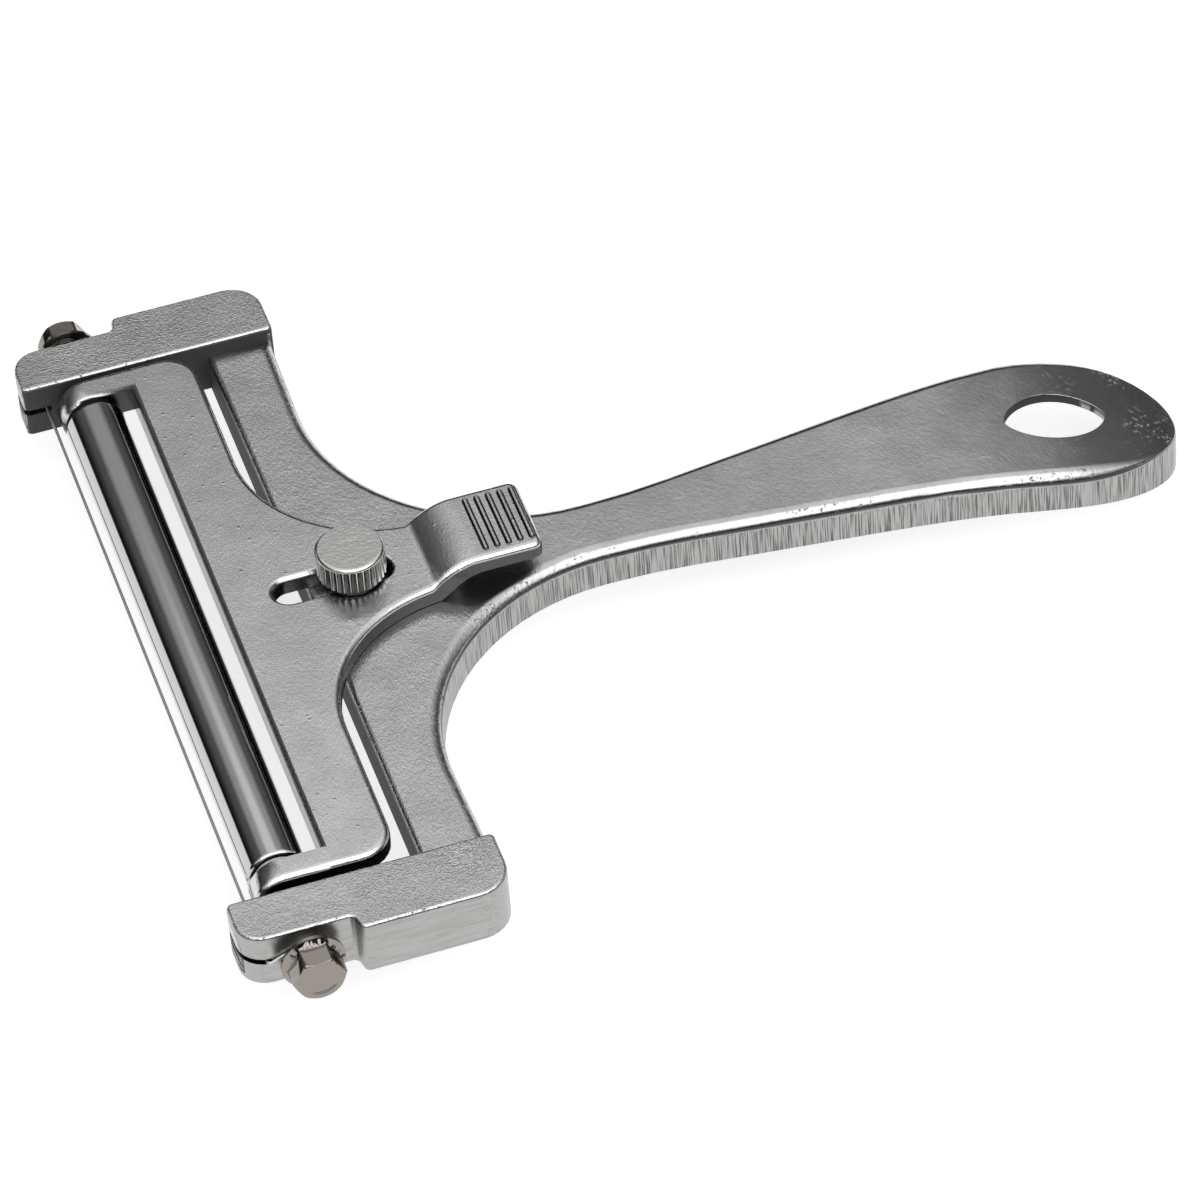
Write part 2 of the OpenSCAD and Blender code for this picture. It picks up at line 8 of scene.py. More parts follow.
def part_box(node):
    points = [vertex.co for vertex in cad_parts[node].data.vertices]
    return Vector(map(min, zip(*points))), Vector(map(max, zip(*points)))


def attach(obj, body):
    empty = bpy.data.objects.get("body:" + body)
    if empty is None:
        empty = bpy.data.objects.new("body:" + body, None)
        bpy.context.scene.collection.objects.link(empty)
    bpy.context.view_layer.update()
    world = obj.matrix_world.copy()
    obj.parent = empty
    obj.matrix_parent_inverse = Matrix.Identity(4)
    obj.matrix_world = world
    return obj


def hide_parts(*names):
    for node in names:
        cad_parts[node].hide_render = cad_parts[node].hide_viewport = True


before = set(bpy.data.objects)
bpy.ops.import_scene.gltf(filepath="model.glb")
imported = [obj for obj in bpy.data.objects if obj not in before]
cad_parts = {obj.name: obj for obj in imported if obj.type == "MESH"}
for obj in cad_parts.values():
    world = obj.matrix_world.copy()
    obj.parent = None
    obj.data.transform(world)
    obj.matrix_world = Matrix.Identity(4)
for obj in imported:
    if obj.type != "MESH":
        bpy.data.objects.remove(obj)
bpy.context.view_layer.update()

bl_info = {
    "name": "Hand cheese slicer look",
    "version": (1, 0, 0),
    "blender": (4, 5, 0),
    "location": "3D View > Sidebar > Slicer",
    "description": "Dresses the packed hand cheese slicer in cast aluminium and steel",
    "category": "Object",
}

MM = 0.001

# The part's source counts X from the front end of the cheeks and Z from the underside of the fork
FORK = Vector((-72.1, 0.0, 8.2))

# Places and sizes in the source's own measure, in mm
HALF_CUT = 50
CHEEK_TOP = 8
PLATE_TOP = 5.9
HOLE_X = 127.7
BEND_X = 97.2
BEND_LENGTH = 47
BEND_DROP = 8.2
CUT_DEPTH = 3.5
CUT_HEIGHT = 3.8
CARRIAGE_TOP = 8.6
REST_TOP = 11.5
SLOT_X = 28.55
THUMB_X = 31.3
TUBE_WALL = 0.8
TUBE_EASE = 0.5

# Depth of a bump's full height
BUMP_DEPTH = 0.1 * MM
# The ring of cards round the stage, in metres
CARD_RADIUS = 1.0
CARD_HEIGHT = 1.4
# The eye's turn from straight ahead, its height and its roll, in degrees
EYE_ANGLES = (-14.5761, 44.3354, 4.6395)
# Where the eye looks, and from how far, in mm
EYE_AIM = (-12.22, -15.62, 16.152)
EYE_DISTANCE = 936.5


def placed(x, y, z):
    """A point of the source's own measure, in mm, as a point of the row frame in metres."""
    return (FORK + Vector((x, y, z))) * MM


# Mesh helpers


def merged_copy(node):
    """A bmesh of a CAD node's mesh with its doubles merged."""
    bm = bmesh.new()
    bm.from_mesh(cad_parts[node].data)
    bmesh.ops.remove_doubles(bm, verts=bm.verts, dist=2e-6)
    return bm


def join_flats(bm, degrees=0.4):
    """Joins faces that lie in one plane, give or take the angle."""
    bmesh.ops.dissolve_limit(
        bm, angle_limit=math.radians(degrees), verts=bm.verts, edges=bm.edges
    )


def sharp_edges(bm, wanted, degrees=32):
    """Edges that turn by more than the angle and whose middle passes the test."""
    limit = math.radians(degrees)
    return [
        e
        for e in bm.edges
        if len(e.link_faces) == 2
        and e.calc_face_angle(0) > limit
        and wanted((e.verts[0].co + e.verts[1].co) / 2, e)
    ]


def round_edges(bm, edges, width, segments=3):
    """Rounds edges of a copy by the width, and fails when there are none."""
    if not edges:
        raise RuntimeError("no edge was found to round")
    bmesh.ops.bevel(
        bm,
        geom=edges,
        offset=width,
        offset_type="OFFSET",
        affect="EDGES",
        segments=segments,
        profile=0.5,
        clamp_overlap=True,
        material=-1,
    )


def is_upright(edge):
    """Whether an edge runs up and down."""
    a, b = (v.co for v in edge.verts)
    return abs(a.z - b.z) > 0.9 * (a - b).length


def add_piece(name, bm, material, body, nodes, smooth=40):
    """Turns a bmesh into a finished piece that rides a body and stands for CAD nodes."""
    bmesh.ops.dissolve_degenerate(bm, dist=1e-6, edges=bm.edges)
    mesh = bpy.data.meshes.new(name)
    bm.to_mesh(mesh)
    bm.free()
    mesh.shade_smooth()
    mesh.set_sharp_from_angle(angle=math.radians(smooth))
    mesh.materials.append(material)
    obj = bpy.data.objects.new(name, mesh)
    bpy.context.scene.collection.objects.link(obj)
    weighted = obj.modifiers.new("EvenShading", "WEIGHTED_NORMAL")
    weighted.mode = "FACE_AREA_WITH_ANGLE"
    weighted.keep_sharp = True
    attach(obj, body)
    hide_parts(*nodes)
    return obj


def smooth_bend(obj, surface):
    """Fixes the shading of a bent face: surface(co) gives its true normal, or None off it."""
    evaluated = obj.evaluated_get(bpy.context.evaluated_depsgraph_get())
    shaded = evaluated.to_mesh()
    normals = [n.vector.copy() for n in shaded.corner_normals]
    evaluated.to_mesh_clear()
    obj.modifiers.clear()
    mesh = obj.data
    for loop in mesh.loops:
        true = surface(mesh.vertices[loop.vertex_index].co)
        if true is not None and normals[loop.index].angle(true) < math.radians(30):
            normals[loop.index] = true
    mesh.normals_split_custom_set(normals)


def lathe(profile, axis_point, along, steps=96):
    """A closed shape of revolution. The profile's points are (radius, place along the axis)."""
    along = Vector(along)
    side = along.orthogonal().normalized()
    centre = Vector(axis_point)
    bm = bmesh.new()
    ring = [bm.verts.new(centre + side * r + along * h) for r, h in profile]
    count = len(ring)
    edges = [bm.edges.new((ring[i], ring[(i + 1) % count])) for i in range(count)]
    bmesh.ops.spin(
        bm,
        geom=ring + edges,
        cent=centre,
        axis=along,
        angle=2 * math.pi,
        steps=steps,
        use_merge=True,
    )
    bmesh.ops.remove_doubles(bm, verts=bm.verts, dist=1e-7)
    bmesh.ops.recalc_face_normals(bm, faces=bm.faces)
    return bm


# Shader helpers


def new_group(name, inputs, outputs):
    """An empty shader node group with named sockets and its two end nodes."""
    group = bpy.data.node_groups.new(name, "ShaderNodeTree")
    for label, kind, value in inputs:
        socket = group.interface.new_socket(label, in_out="INPUT", socket_type=kind)
        if value is not None:
            socket.default_value = value
    for label, kind in outputs:
        group.interface.new_socket(label, in_out="OUTPUT", socket_type=kind)
    start = group.nodes.new("NodeGroupInput")
    end = group.nodes.new("NodeGroupOutput")
    return group, start, end


def feed(tree, value, socket):
    """Gives a socket a plain number or the output of another node."""
    if isinstance(value, (int, float)):
        socket.default_value = value
    else:
        tree.links.new(value, socket)


def math_node(tree, operation, a, b=None):
    """One sum of a shader. Either side may be a plain number."""
    node = tree.nodes.new("ShaderNodeMath")
    node.operation = operation
    feed(tree, a, node.inputs[0])
    if b is not None:
        feed(tree, b, node.inputs[1])
    return node.outputs[0]


def multiply(tree, a, b):
    """The product of two numbers or outputs."""
    return math_node(tree, "MULTIPLY", a, b)


def parts_of(tree, vector):
    """The X, Y and Z of a vector."""
    node = tree.nodes.new("ShaderNodeSeparateXYZ")
    tree.links.new(vector, node.inputs[0])
    return node.outputs["X"], node.outputs["Y"], node.outputs["Z"]


def reach_from(tree, vector, x):
    """Distance, seen from above, from an upright line through (x, 0)."""
    node = tree.nodes.new("ShaderNodeVectorMath")
    node.operation = "DISTANCE"
    node.inputs[1].default_value = (x, 0, 0)
    tree.links.new(stretched(tree, vector, (1.0, 1.0, 0.0)), node.inputs[0])
    return node.outputs["Value"]


def noise(tree, vector, scale, detail=2.0, rough=0.5):
    """Soft noise from 0 to 1. The scale is in cells a metre."""
    node = tree.nodes.new("ShaderNodeTexNoise")
    node.inputs["Detail"].default_value = detail
    node.inputs["Roughness"].default_value = rough
    node.inputs["Scale"].default_value = scale
    tree.links.new(vector, node.inputs["Vector"])
    return node.outputs["Fac"]


def remap(tree, value, low, high, to_low=0.0, to_high=1.0):
    """A number moved from one range to another, and held within it."""
    node = tree.nodes.new("ShaderNodeMapRange")
    node.clamp = True
    tree.links.new(value, node.inputs["Value"])
    for label, number in (
        ("From Min", low),
        ("From Max", high),
        ("To Min", to_low),
        ("To Max", to_high),
    ):
        feed(tree, number, node.inputs[label])
    return node.outputs["Result"]


def stretched(tree, vector, scale):
    """A place with each axis scaled, so that a pattern is drawn out or packed."""
    node = tree.nodes.new("ShaderNodeMapping")
    node.inputs["Scale"].default_value = scale
    tree.links.new(vector, node.inputs["Vector"])
    return node.outputs["Vector"]


def cast_skin_group():
    """Skin of a casting: dimples, fine grain, worm-like ripples and scattered small drops."""
    group, start, end = new_group(
        "CastSkin",
        [
            ("Vector", "NodeSocketVector", None),
            ("Dimples", "NodeSocketFloat", 0.4),
            ("Grain", "NodeSocketFloat", 0.3),
            ("Ripples", "NodeSocketFloat", 0.5),
            ("Drops", "NodeSocketFloat", 0.5),
        ],
        [("Height", "NodeSocketFloat"), ("Patches", "NodeSocketFloat"), ("Mottle", "NodeSocketFloat")],
    )
    place = start.outputs["Vector"]
    patches = remap(group, noise(group, place, 90.0, 3.0, 0.6), 0.42, 0.75)
    narrow = stretched(group, place, (2.4, 1.0, 1.0))
    dimples = noise(group, narrow, 1000.0, 3.0, 0.6)
    grain = noise(group, narrow, 2600.0, 2.0, 0.6)
    worm = noise(group, stretched(group, place, (1.0, 1.5, 1.0)), 1300.0, 1.0, 0.4)
    ridge = math_node(group, "ABSOLUTE", math_node(group, "SUBTRACT", worm, 0.5))
    ripples = multiply(group, remap(group, ridge, 0.0, 0.07, 1.0, 0.0), patches)
    cells = group.nodes.new("ShaderNodeTexVoronoi")
    cells.inputs["Scale"].default_value = 480.0
    group.links.new(place, cells.inputs["Vector"])
    drops = remap(group, cells.outputs["Distance"], 0.02, 0.12, 1.0, 0.0)
    height = multiply(group, dimples, start.outputs["Dimples"])
    for part, share in ((grain, "Grain"), (ripples, "Ripples"), (drops, "Drops")):
        height = math_node(group, "ADD", height, multiply(group, part, start.outputs[share]))
    clouds = noise(group, place, 160.0, 3.0, 0.6)
    mottle = math_node(group, "ADD", multiply(group, grain, 0.6), clouds)
    group.links.new(height, end.inputs["Height"])
    group.links.new(patches, end.inputs["Patches"])
    group.links.new(remap(group, mottle, 0.6, 1.0), end.inputs["Mottle"])
    return group


def grind_group():
    """Fine parallel lines of a belt grinder. The vector is stretched along the lines."""
    group, start, end = new_group(
        "GrindLines",
        [("Vector", "NodeSocketVector", None)],
        [("Height", "NodeSocketFloat"), ("Streaks", "NodeSocketFloat")],
    )
    place = start.outputs["Vector"]
    fine = noise(group, place, 6000.0, 2.0, 0.5)
    coarse = noise(group, place, 1500.0, 1.0, 0.5)
    both = math_node(group, "ADD", fine, multiply(group, coarse, 0.1))
    group.links.new(both, end.inputs["Height"])
    group.links.new(remap(group, both, 0.42, 0.6), end.inputs["Streaks"])
    return group


def scuff_group():
    """Pale specks and short rubs of wear, in patches."""
    group, start, end = new_group(
        "Scuffs",
        [("Vector", "NodeSocketVector", None)],
        [("Mask", "NodeSocketFloat")],
    )
    place = start.outputs["Vector"]
    specks = remap(group, noise(group, place, 2600.0, 3.0, 0.7), 0.58, 0.68)
    where = remap(group, noise(group, place, 150.0, 3.0, 0.6), 0.5, 0.62)
    rubs = remap(
        group, noise(group, stretched(group, place, (0.25, 1.0, 1.0)), 2100.0, 1.0, 0.5), 0.63, 0.68
    )
    both = math_node(group, "MAXIMUM", specks, rubs)
    group.links.new(multiply(group, both, where), end.inputs["Mask"])
    return group


def pit_group():
    """Small dark pits where the rounded edges of the casting were polished through."""
    group, start, end = new_group(
        "Pits",
        [("Vector", "NodeSocketVector", None)],
        [("Mask", "NodeSocketFloat")],
    )
    place = start.outputs["Vector"]
    holes = remap(group, noise(group, place, 1500.0, 3.0, 0.7), 0.6, 0.66)
    where = remap(group, noise(group, place, 90.0, 2.0, 0.6), 0.42, 0.55)
    group.links.new(multiply(group, holes, where), end.inputs["Mask"])
    return group


def metal(name, colour, roughness, metallic=1.0):
    """A material with one Principled BSDF and its object coordinates."""
    material = bpy.data.materials.new(name)
    material.use_nodes = True
    tree = material.node_tree
    shader = tree.nodes["Principled BSDF"]
    shader.inputs["Base Color"].default_value = (*colour, 1.0)
    shader.inputs["Roughness"].default_value = roughness
    shader.inputs["Metallic"].default_value = metallic
    place = tree.nodes.new("ShaderNodeTexCoord")
    return material, tree, shader, place


def use_group(tree, group, vector, **values):
    """Places a shared group in a material with its own values."""
    node = tree.nodes.new("ShaderNodeGroup")
    node.node_tree = group
    tree.links.new(vector, node.inputs["Vector"])
    for label, value in values.items():
        node.inputs[label].default_value = value
    return node


def blended(tree, factor, a, b):
    """A number between a and b. Either may be a socket or a plain number."""
    node = tree.nodes.new("ShaderNodeMix")
    for index, value in ((0, factor), (2, a), (3, b)):
        feed(tree, value, node.inputs[index])
    return node.outputs[0]


def bump(tree, shader, height, strength, distance=BUMP_DEPTH):
    """Feeds a height to the shader as small relief."""
    node = tree.nodes.new("ShaderNodeBump")
    node.inputs["Strength"].default_value = strength
    node.inputs["Distance"].default_value = distance
    tree.links.new(height, node.inputs["Height"])
    tree.links.new(node.outputs["Normal"], shader.inputs["Normal"])


def mixed_colour(tree, factor, dark, light):
    """A colour between two, each an output or three plain numbers."""
    node = tree.nodes.new("ShaderNodeMix")
    node.data_type = "RGBA"
    for index, value in ((6, dark), (7, light)):
        if isinstance(value, bpy.types.NodeSocket):
            tree.links.new(value, node.inputs[index])
        else:
            node.inputs[index].default_value = (*value, 1.0)
    tree.links.new(factor, node.inputs[0])
    return node.outputs[2]


def dimmed(colour, share):
    """A colour times a number."""
    return tuple(share * c for c in colour)


def get_group(name, build):
    """A shared shader group, built at its first use."""
    return bpy.data.node_groups.get(name) or build()


def ramp_of(tree, socket, *steps):
    """A product of soft steps, each (low, high), of one number."""
    value = remap(tree, socket, *steps[0])
    for step in steps[1:]:
        value = multiply(tree, value, remap(tree, socket, *step))
    return value


def frame_places(tree, place):
    """Masks and measures of the frame's regions, by name."""
    facing = parts_of(tree, place.outputs["Normal"])
    x, y, z = parts_of(tree, place.outputs["Object"])
    tilt = math_node(tree, "ABSOLUTE", facing[2])
    cheek = remap(
        tree, math_node(tree, "ABSOLUTE", y), (HALF_CUT - 0.2) * MM, (HALF_CUT + 0.2) * MM
    )
    reach = reach_from(tree, place.outputs["Object"], placed(HOLE_X, 0, 0).x)
    outside = remap(tree, reach, 8.6 * MM, 8.8 * MM)
    # Faces turned inwards, faces turned to the front off the cheeks, and the hole's wall: the walls that
    # get painted shade
    inwards = multiply(tree, facing[1], math_node(tree, "SIGN", y))
    ahead = remap(tree, facing[0], -0.6, -0.45, 1.0, 0.0)
    ahead = multiply(tree, ahead, math_node(tree, "SUBTRACT", 1.0, cheek))
    cast = math_node(tree, "MAXIMUM", remap(tree, inwards, -0.4, -0.2, 1.0, 0.0), ahead)
    cast = math_node(tree, "MAXIMUM", cast, math_node(tree, "SUBTRACT", 1.0, outside))
    steep = remap(tree, tilt, 0.1, 0.25, 1.0, 0.0)
    cut = placed(CUT_DEPTH, 0, CUT_HEIGHT)
    off_cut = math_node(tree, "ABSOLUTE", math_node(tree, "SUBTRACT", z, cut.z))
    return {
        "x": x,
        "cheek": cheek,
        "side": multiply(tree, steep, math_node(tree, "SUBTRACT", 1.0, cast)),
        # Walls that get painted shade
        "wall": multiply(tree, steep, cast),
        "handle": remap(tree, x, -30 * MM, 0.0),
        "tip": remap(tree, x, 40 * MM, 58 * MM),
        "rim": ramp_of(tree, tilt, (0.3, 0.45), (0.9, 0.985, 1.0, 0.0)),
        # The steep lower part of the rounded edges, which gets a painted dark reflection
        "painted_dark_band": ramp_of(tree, tilt, (0.14, 0.26), (0.42, 0.54, 1.0, 0.0)),
        "saw_cut": multiply(
            tree,
            remap(tree, off_cut, 0.38 * MM, 0.5 * MM, 1.0, 0.0),
            remap(tree, x, cut.x, cut.x + 0.3 * MM, 1.0, 0.0),
        ),
    }


def frame_metal(look):
    """Cast aluminium with ground sides: upright lines on the handle, level on the cheeks."""
    material, tree, shader, place = metal(
        "GroundAluminium", look.frame_colour, look.frame_roughness
    )
    spot = place.outputs["Object"]
    at = frame_places(tree, place)
    skin_group = get_group("CastSkin", cast_skin_group)
    skin = use_group(tree, skin_group, spot, Dimples=0.5, Grain=0.5, Ripples=0.0, Drops=0.15)
    rough_skin = use_group(tree, skin_group, spot, Dimples=0.6, Grain=0.5, Ripples=0.6, Drops=0.3)
    grind = get_group("GrindLines", grind_group)
    upright = use_group(tree, grind, stretched(tree, spot, (1.0, 1.0, 0.03)))
    level = use_group(tree, grind, stretched(tree, spot, (0.03, 1.0, 1.0)))
    scuffs = use_group(tree, get_group("Scuffs", scuff_group), spot)
    pits = use_group(tree, get_group("Pits", pit_group), spot)
    pitted = multiply(tree, pits.outputs["Mask"], at["rim"])

    height = blended(tree, at["cheek"], skin.outputs["Height"], rough_skin.outputs["Height"])
    height = multiply(tree, height, blended(tree, at["handle"], 1.0, 0.5))
    height = math_node(tree, "SUBTRACT", height, multiply(tree, pitted, 0.8))
    level_height = multiply(tree, level.outputs["Height"], 0.3)
    line_height = blended(tree, at["cheek"], upright.outputs["Height"], level_height)
    bump(tree, shader, blended(tree, at["side"], height, line_height), 0.8)

    colour = mixed_colour(tree, skin.outputs["Mottle"], dimmed(look.frame_colour, 0.8), look.frame_colour)
    # The handle is darker at its front end, fading out over 42 mm towards the hole
    handle_front_darkening = multiply(tree, at["handle"], remap(tree, at["x"], 0.0, 42 * MM, 0.45, 0.0))
    colour = mixed_colour(tree, handle_front_darkening, colour, dimmed(look.frame_colour, 0.6))
    wear = blended(tree, at["tip"], multiply(tree, at["handle"], 0.15), 0.8)
    worn = multiply(tree, scuffs.outputs["Mask"], wear)
    # Over the pale scuffs and dark pits go a painted dark reflection on the steep part of the rounded
    # edges and painted shade on the walls
    for mask, tone in (
        (worn, look.scuff_colour),
        (pitted, look.pit_colour),
        (at["painted_dark_band"], look.painted_dark_colour),
        (at["wall"], look.painted_dark_colour),
    ):
        colour = mixed_colour(tree, mask, colour, tone)
    level_streaks = remap(tree, level.outputs["Streaks"], 0.0, 1.0, 0.72, 1.0)
    streaks = blended(tree, at["cheek"], upright.outputs["Streaks"], level_streaks)
    side_colour = mixed_colour(tree, streaks, look.ground_dark, look.ground_colour)
    colour = mixed_colour(tree, at["side"], colour, side_colour)
    # The saw cuts are painted near black, as painted shade inside the narrow cuts
    colour = mixed_colour(tree, at["saw_cut"], colour, look.cut_shade_colour)
    tree.links.new(colour, shader.inputs["Base Color"])

    rough = blended(tree, at["handle"], look.frame_roughness, 0.22)
    rough = blended(tree, at["wall"], rough, 0.7)
    tree.links.new(blended(tree, at["side"], rough, 0.32), shader.inputs["Roughness"])
    return material


def carriage_metal(look):
    """Cast and tumbled aluminium, with painted shade on its walls, under its overhangs and on the flanks
    of its ribs.
    """
    material, tree, shader, place = metal(
        "TumbledAluminium", look.carriage_colour, look.carriage_roughness
    )
    spot = place.outputs["Object"]
    skin_group = get_group("CastSkin", cast_skin_group)
    skin = use_group(tree, skin_group, spot, Dimples=0.32, Grain=0.38, Ripples=0.05, Drops=0.5)
    bump(tree, shader, skin.outputs["Height"], 0.6)
    facing_up = parts_of(tree, place.outputs["Normal"])[2]
    height = parts_of(tree, spot)[2]
    # Painted shade on the upright walls, on the faces turned down and on the flanks of the rest's ribs
    wall = remap(tree, math_node(tree, "ABSOLUTE", facing_up), 0.1, 0.35, 1.0, 0.0)
    underside_shade = remap(tree, facing_up, -0.7, -0.4, 1.0, 0.0)
    rest_top = placed(0, 0, REST_TOP).z
    raised = remap(tree, height, rest_top - 0.01 * MM, rest_top + 0.03 * MM)
    rib_flank_shade = multiply(tree, raised, remap(tree, facing_up, 0.86, 0.97, 1.0, 0.0))
    colour = mixed_colour(
        tree, skin.outputs["Mottle"], dimmed(look.carriage_colour, 0.82), look.carriage_colour
    )
    for mask in (math_node(tree, "MAXIMUM", wall, underside_shade), rib_flank_shade):
        colour = mixed_colour(tree, mask, colour, look.painted_dark_colour)
    tree.links.new(colour, shader.inputs["Base Color"])
    rough = look.carriage_roughness
    tree.links.new(
        remap(tree, skin.outputs["Patches"], 0.0, 1.0, rough, rough + 0.06), shader.inputs["Roughness"]
    )
    return material


def plain_metal(name, colour, roughness):
    """Metal whose polish varies a little."""
    material, tree, shader, place = metal(name, colour, roughness)
    fine = noise(tree, place.outputs["Object"], 700.0, 3.0, 0.6)
    low = roughness * 0.85
    tree.links.new(remap(tree, fine, 0.3, 0.7, low, roughness * 1.2), shader.inputs["Roughness"])
    return material


def knurled_metal(look):
    """Plated steel with painted shade in its flutes, darker the nearer they come to the axis, and a
    painted highlight on its ridges.
    """
    material, tree, shader, place = metal("PlatedSteel", look.nickel_colour, 0.16)
    spot = place.outputs["Object"]
    reach = reach_from(tree, spot, placed(THUMB_X, 0, 0).x)
    ridge = remap(tree, reach, 4.18 * MM, 4.34 * MM)
    facing_up = parts_of(tree, place.outputs["Normal"])[2]
    side = remap(tree, facing_up, 0.3, 0.5, 1.0, 0.0)
    # Painted shade in the flutes, deepest near the axis, and a painted highlight on the ridges. The same
    # lighter colour marks the scratches on the top.
    bright_scratch_and_highlight = dimmed(look.nickel_colour, 1.3)
    knurl_shade_and_highlight = mixed_colour(tree, ridge, dimmed(look.nickel_colour, 0.12), bright_scratch_and_highlight)
    scratches = use_group(tree, get_group("Scuffs", scuff_group), spot)
    face = mixed_colour(tree, scratches.outputs["Mask"], look.nickel_colour, bright_scratch_and_highlight)
    tree.links.new(mixed_colour(tree, side, face, knurl_shade_and_highlight), shader.inputs["Base Color"])
    bump(tree, shader, noise(tree, spot, 2200.0, 3.0, 0.6), 0.25)
    return material


def plastic(name, colour, roughness):
    """Plain moulded plastic."""
    material, tree, shader, place = metal(name, colour, roughness, 0.0)
    fine = noise(tree, place.outputs["Object"], 900.0, 2.0, 0.5)
    bump(tree, shader, fine, 0.1, 0.05 * MM)
    return material


class SlicerLook(bpy.types.PropertyGroup):
    frame_colour: bpy.props.FloatVectorProperty(
        name="Frame", description="Colour of the cast frame", subtype="COLOR",
        default=(0.63, 0.63, 0.63), min=0, max=1,
    )
    ground_colour: bpy.props.FloatVectorProperty(
        name="Ground sides", description="Colour of the ground side faces", subtype="COLOR",
        default=(0.4, 0.4, 0.39), min=0, max=1,
    )
    ground_dark: bpy.props.FloatVectorProperty(
        name="Grind marks", description="Colour of the darker lines on the ground sides", subtype="COLOR",
        default=(0.13, 0.13, 0.127), min=0, max=1,
    )
    # Painted shade and painted dark reflection: near black on the frame's inner walls, the hole's wall
    # and the steep part of its rounded edges, and on the carriage's walls, undersides and rib flanks
    painted_dark_colour: bpy.props.FloatVectorProperty(
        name="Painted shade", description="Colour of the painted shade and painted dark reflections", subtype="COLOR",
        default=(0.08, 0.08, 0.08), min=0, max=1,
    )
    pit_colour: bpy.props.FloatVectorProperty(
        name="Pits", description="Colour of the pits in the polished edges", subtype="COLOR",
        default=(0.1, 0.1, 0.1), min=0, max=1,
    )
    # Painted shade inside the saw cuts
    cut_shade_colour: bpy.props.FloatVectorProperty(
        name="Saw cuts", description="Colour of the painted shade in the saw cuts", subtype="COLOR",
        default=(0.004, 0.004, 0.004), min=0, max=1,
    )
    scuff_colour: bpy.props.FloatVectorProperty(
        name="Scuffs", description="Colour of the rubbed specks on the handle", subtype="COLOR",
        default=(0.95, 0.95, 0.94), min=0, max=1,
    )
    carriage_colour: bpy.props.FloatVectorProperty(
        name="Carriage", description="Colour of the cast carriage", subtype="COLOR",
        default=(0.64, 0.64, 0.64), min=0, max=1,
    )
    frame_roughness: bpy.props.FloatProperty(
        name="Frame roughness", description="How matt the frame is", default=0.23, min=0, max=1,
    )
    carriage_roughness: bpy.props.FloatProperty(
        name="Carriage roughness", description="How matt the carriage is", default=0.15, min=0, max=1,
    )
    steel_colour: bpy.props.FloatVectorProperty(
        name="Roller steel", description="Colour of the polished roller", subtype="COLOR",
        default=(0.5, 0.5, 0.49), min=0, max=1,
    )
    screw_colour: bpy.props.FloatVectorProperty(
        name="Screw steel", description="Colour of the two wire screws", subtype="COLOR",
        default=(0.27, 0.247, 0.225), min=0, max=1,
    )
    nickel_colour: bpy.props.FloatVectorProperty(
        name="Thumb screw", description="Colour of the plated thumb screw", subtype="COLOR",
        default=(0.58, 0.572, 0.555), min=0, max=1,
    )
    bush_colour: bpy.props.FloatVectorProperty(
        name="Bushes", description="Colour of the roller's plastic bushes", subtype="COLOR",
        default=(0.75, 0.74, 0.7), min=0, max=1,
    )
    casting_edge: bpy.props.FloatProperty(
        name="Casting edge", description="Radius of the casting's softened edges",
        default=0.45 * MM, min=0.1 * MM, max=1 * MM, unit="LENGTH",
    )
    rim_edge: bpy.props.FloatProperty(
        name="Rim edge", description="Radius round the hole and the slot",
        default=0.5 * MM, min=0.1 * MM, max=1 * MM, unit="LENGTH",
    )


def look():
    """The properties of the slicer in this scene."""
    return bpy.context.scene.slicer_look


class SLICER_OT_casting(bpy.types.Operator):
    """Dress the one-piece frame casting"""

    bl_idname = "slicer.casting"
    bl_label = "Frame casting"

    def execute(self, context):
        bm = merged_copy("frame_casting")
        join_flats(bm)
        hole = placed(HOLE_X, 0, 0)
        cheek_top = placed(0, 0, CHEEK_TOP).z
        foot = placed(0, 0, 0).z
        rim = sharp_edges(
            bm,
            lambda p, e: abs(p.x - hole.x) < 8 * MM
            and abs(p.y) < 5 * MM
            and p.z > foot + 1 * MM
            and not is_upright(e),
        )
        round_edges(bm, rim, look().rim_edge)
        for level, width in ((cheek_top, look().casting_edge), (foot, look().casting_edge * 0.6)):
            edges = sharp_edges(bm, lambda p, e: abs(p.z - level) < 0.01 * MM, 50)
            round_edges(bm, edges, width)
        obj = add_piece(
            "FrameCasting", bm, frame_metal(look()), "frame", ["frame_casting"]
        )
        start, length, drop = placed(BEND_X, 0, PLATE_TOP), BEND_LENGTH * MM, BEND_DROP * MM

        def bent_top(co):
            """The handle's top drops as the cube of the distance from the bend's start."""
            run = (co.x - start.x) / length
            if run < 0 or abs(co.z - start.z + drop * run**3) > 0.02 * MM:
                return None
            return Vector((3 * drop / length * run**2, 0, 1)).normalized()

        smooth_bend(obj, bent_top)
        return {"FINISHED"}


class SLICER_OT_carriage(bpy.types.Operator):
    """Dress the roller carriage with its arms, ramp and ribbed thumb rest"""

    bl_idname = "slicer.carriage"
    bl_label = "Roller carriage"

    def execute(self, context):
        bm = merged_copy("roller_carriage")
        plate_top = placed(0, 0, CARRIAGE_TOP).z
        # The source sets the arms 0.04 mm under the plate's top. Level, they shade as one face.
        for vert in bm.verts:
            if abs(vert.co.z - (plate_top - 0.04 * MM)) < 0.005 * MM:
                vert.co.z = plate_top
        bmesh.ops.remove_doubles(bm, verts=bm.verts, dist=3e-6)
        join_flats(bm)
        slot = placed(SLOT_X, 0, 0)
        lip = sharp_edges(
            bm,
            lambda p, e: abs(p.x - slot.x) < 9.4 * MM
            and abs(p.y) < 3.2 * MM
            and p.z > plate_top - 0.7 * MM,
            30,
        )
        round_edges(bm, lip, look().rim_edge * 0.4)
        add_piece(
            "RollerCarriage", bm, carriage_metal(look()), "carriage",
            ["roller_carriage"],
        )
        return {"FINISHED"}


